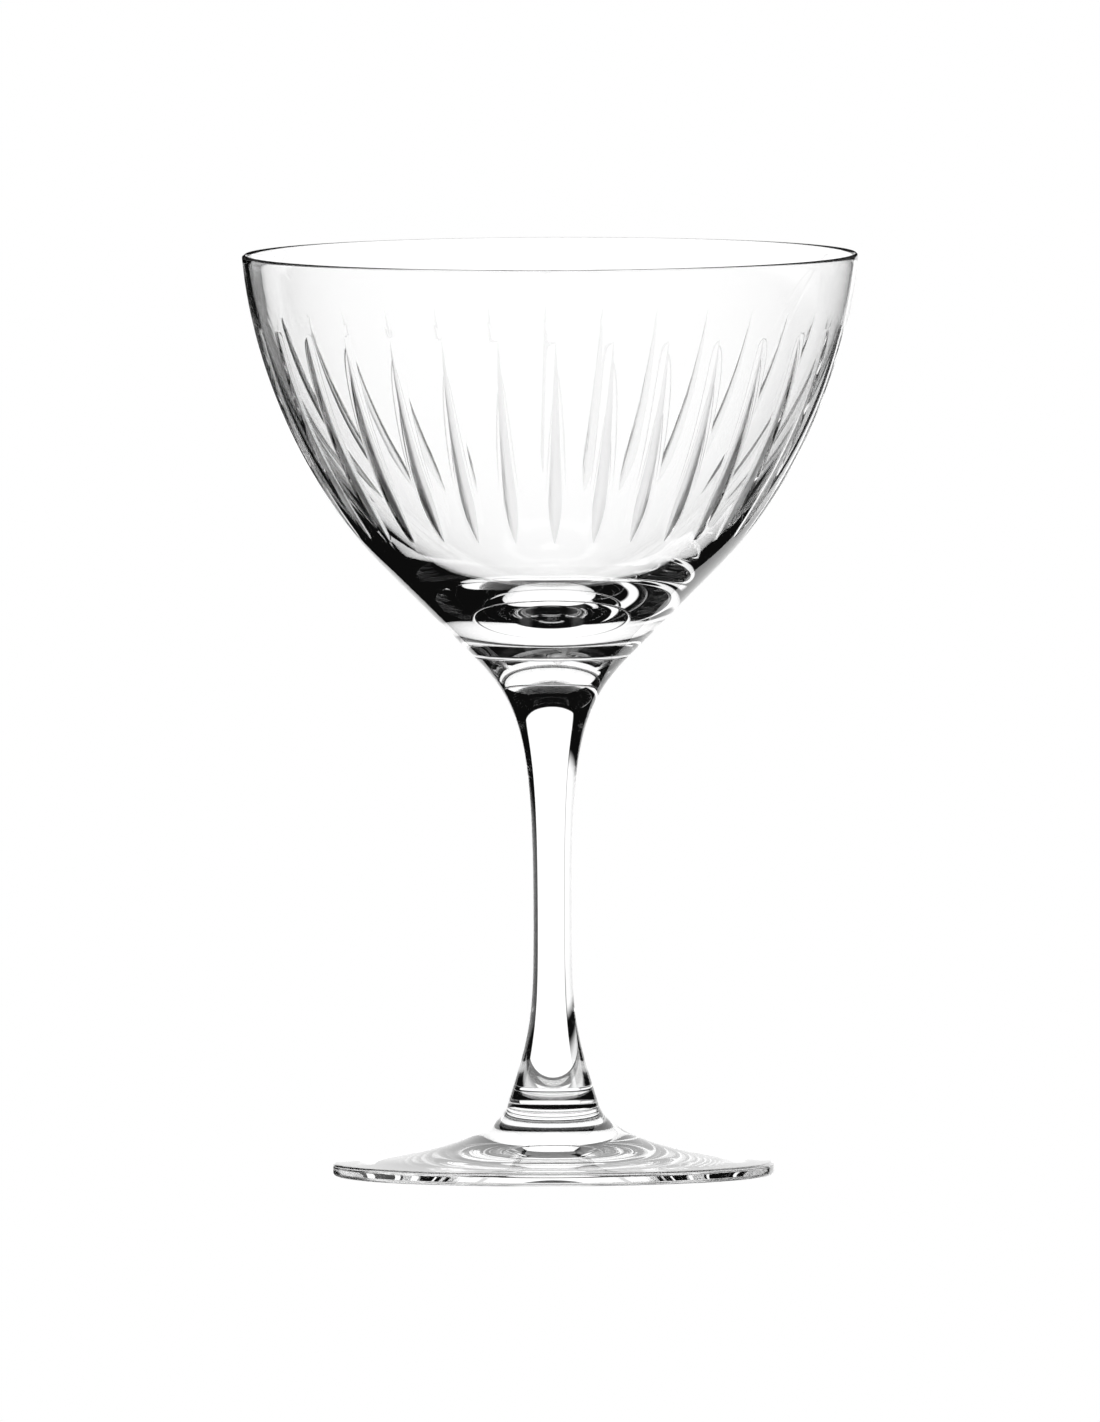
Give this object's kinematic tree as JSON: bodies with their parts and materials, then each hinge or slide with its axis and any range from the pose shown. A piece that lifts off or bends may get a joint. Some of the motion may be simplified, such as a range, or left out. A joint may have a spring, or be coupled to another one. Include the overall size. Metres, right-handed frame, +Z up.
{
  "type": "martini glass",
  "caption": "Clear stemmed martini glass: a tulip-shaped bowl with upright ground cuts, a slender solid stem and a flat round foot, for holding a chilled cocktail.",
  "frame": {"origin": "centre of the circle that the foot rests on, on the table", "axes": "+Z up along the axis of the stem, +X to the right and -Y towards the viewer; one cut is a degree from each of them"},
  "size_m": [0.095, 0.095, 0.142],
  "materials": {
    "clear_crystal": "clear, polished, fire-polished rim; the cuts in the bowl are ground to a satin finish"
  },
  "bodies": {
    "root": {"bowl": "clear_crystal", "stem": "clear_crystal", "foot": "clear_crystal"}
  },
  "joints": []
}
